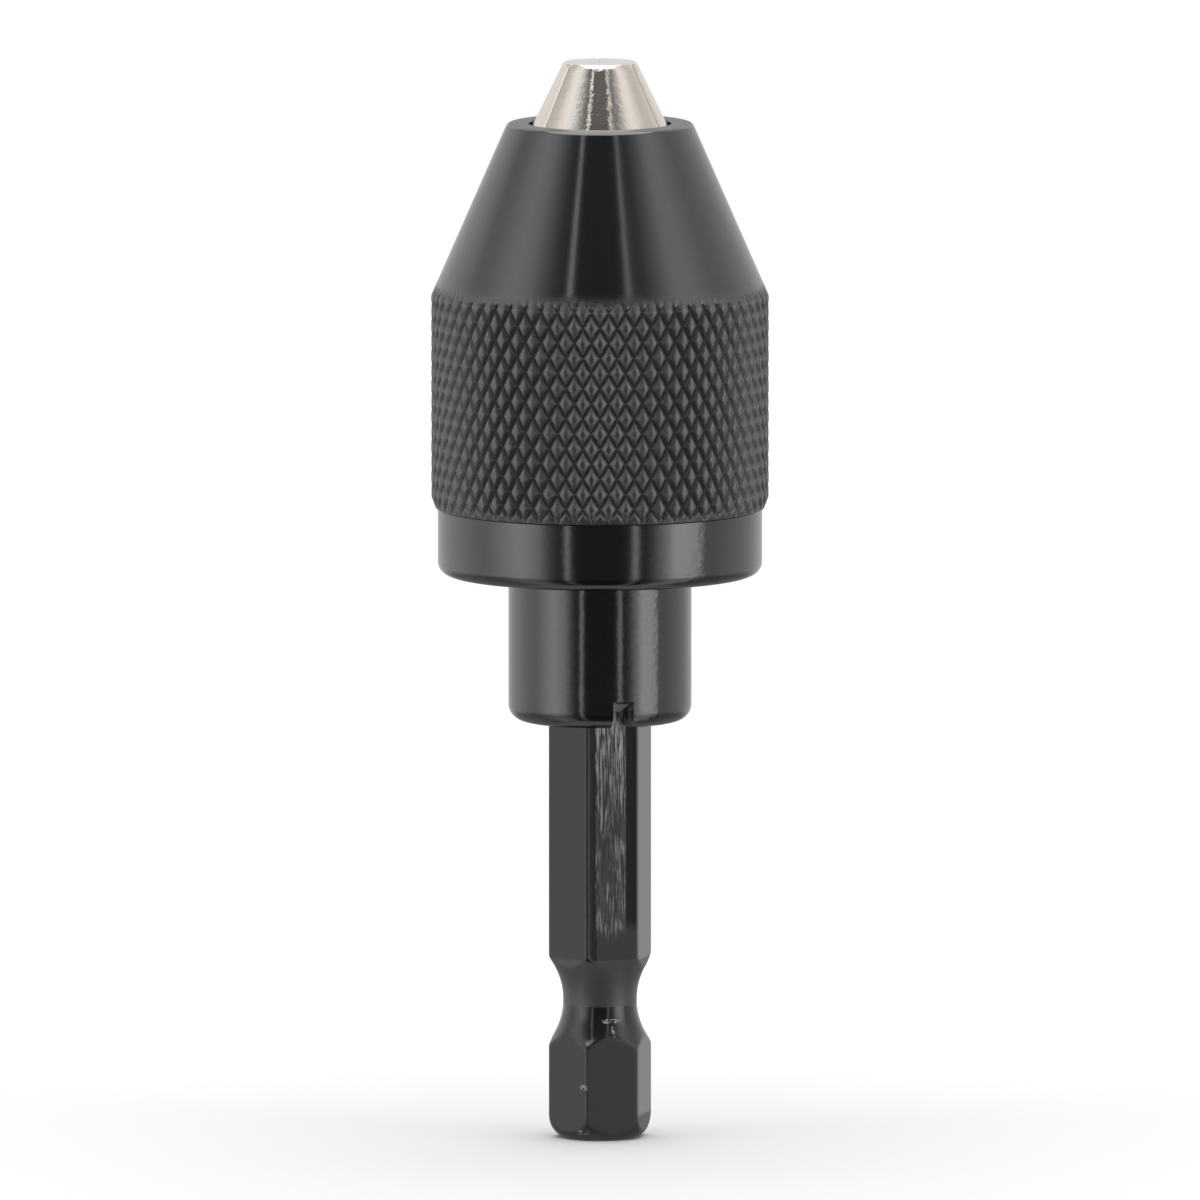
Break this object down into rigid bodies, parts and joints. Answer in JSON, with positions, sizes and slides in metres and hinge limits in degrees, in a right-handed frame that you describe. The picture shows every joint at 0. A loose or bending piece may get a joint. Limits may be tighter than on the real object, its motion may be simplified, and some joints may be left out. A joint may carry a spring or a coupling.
{
  "type": "drill chuck",
  "caption": "Keyless three-jaw drill chuck with a knurled cone-nosed sleeve and a grooved quarter-inch hexagon shank.",
  "frame": {"origin": "centre of the shank's end face", "axes": "+Z along the chuck's axis from the shank's end to the jaws; -Y is the normal of the hexagon flat under the notch in the hub"},
  "size_m": [0.0232, 0.0232, 0.0743],
  "materials": {
    "shank_black": "black oxide on turned and drawn steel",
    "hub_black": "glossy black coating on turned steel",
    "sleeve_black": "glossy black coating, knurled grip",
    "ring_black": "glossy black coating on turned steel",
    "bearing_steel": "ground bearing steel",
    "cage_brass": "stamped brass",
    "carrier_steel": "machined, lightly oiled",
    "jaw_nickel": "bright nickel plate over ground steel"
  },
  "bodies": {
    "hub": {"hex_shank": "shank_black", "hub_body": "hub_black"},
    "sleeve_body": {"sleeve": "sleeve_black", "rear_ring": "ring_black", "rear_race_washer": "bearing_steel", "front_thrust_washer": "bearing_steel"},
    "bearing": {"ball_cage": "cage_brass", "bearing_ball_01": "bearing_steel", "bearing_ball_02": "bearing_steel", "bearing_ball_03": "bearing_steel", "bearing_ball_04": "bearing_steel", "bearing_ball_05": "bearing_steel", "bearing_ball_06": "bearing_steel", "bearing_ball_07": "bearing_steel", "bearing_ball_08": "bearing_steel", "bearing_ball_09": "bearing_steel", "bearing_ball_10": "bearing_steel", "bearing_ball_11": "bearing_steel", "bearing_ball_12": "bearing_steel"},
    "carrier": {"jaw_carrier": "carrier_steel"},
    "jaw_front": {"jaw_1": "jaw_nickel"},
    "jaw_right": {"jaw_2": "jaw_nickel"},
    "jaw_left": {"jaw_3": "jaw_nickel"}
  },
  "joints": [
    {"name": "sleeve_turn", "type": "hinge", "parent": "hub", "child": "sleeve_body", "pos_m": [0, 0, 0.045], "axis": [0, 0, 1], "range_deg": [0, 1525.4]},
    {"name": "bearing_turn", "type": "hinge", "parent": "hub", "child": "bearing", "pos_m": [0, 0, 0.0422], "axis": [0, 0, 1], "range_deg": [0, 763]},
    {"name": "carrier_slide", "type": "slide", "parent": "hub", "child": "carrier", "axis": [0, 0, -1], "range_m": [0, 0.00636]},
    {"name": "jaw_front_slide", "type": "slide", "parent": "carrier", "child": "jaw_front", "axis": [-0.1908, -0.9816, 0], "range_m": [0, 0.00311]},
    {"name": "jaw_right_slide", "type": "slide", "parent": "carrier", "child": "jaw_right", "axis": [0.9455, 0.3256, 0], "range_m": [0, 0.00311]},
    {"name": "jaw_left_slide", "type": "slide", "parent": "carrier", "child": "jaw_left", "axis": [-0.7547, 0.6561, 0], "range_m": [0, 0.00311]}
  ],
  "couplings": [
    {"joint": "bearing_turn", "follows": "sleeve_turn", "ratio": 0.5},
    {"joint": "carrier_slide", "follows": "sleeve_turn", "m_per_rad": 0.00023873},
    {"joint": "jaw_front_slide", "follows": "sleeve_turn", "m_per_rad": 0.00011644},
    {"joint": "jaw_right_slide", "follows": "sleeve_turn", "m_per_rad": 0.00011644},
    {"joint": "jaw_left_slide", "follows": "sleeve_turn", "m_per_rad": 0.00011644}
  ]
}
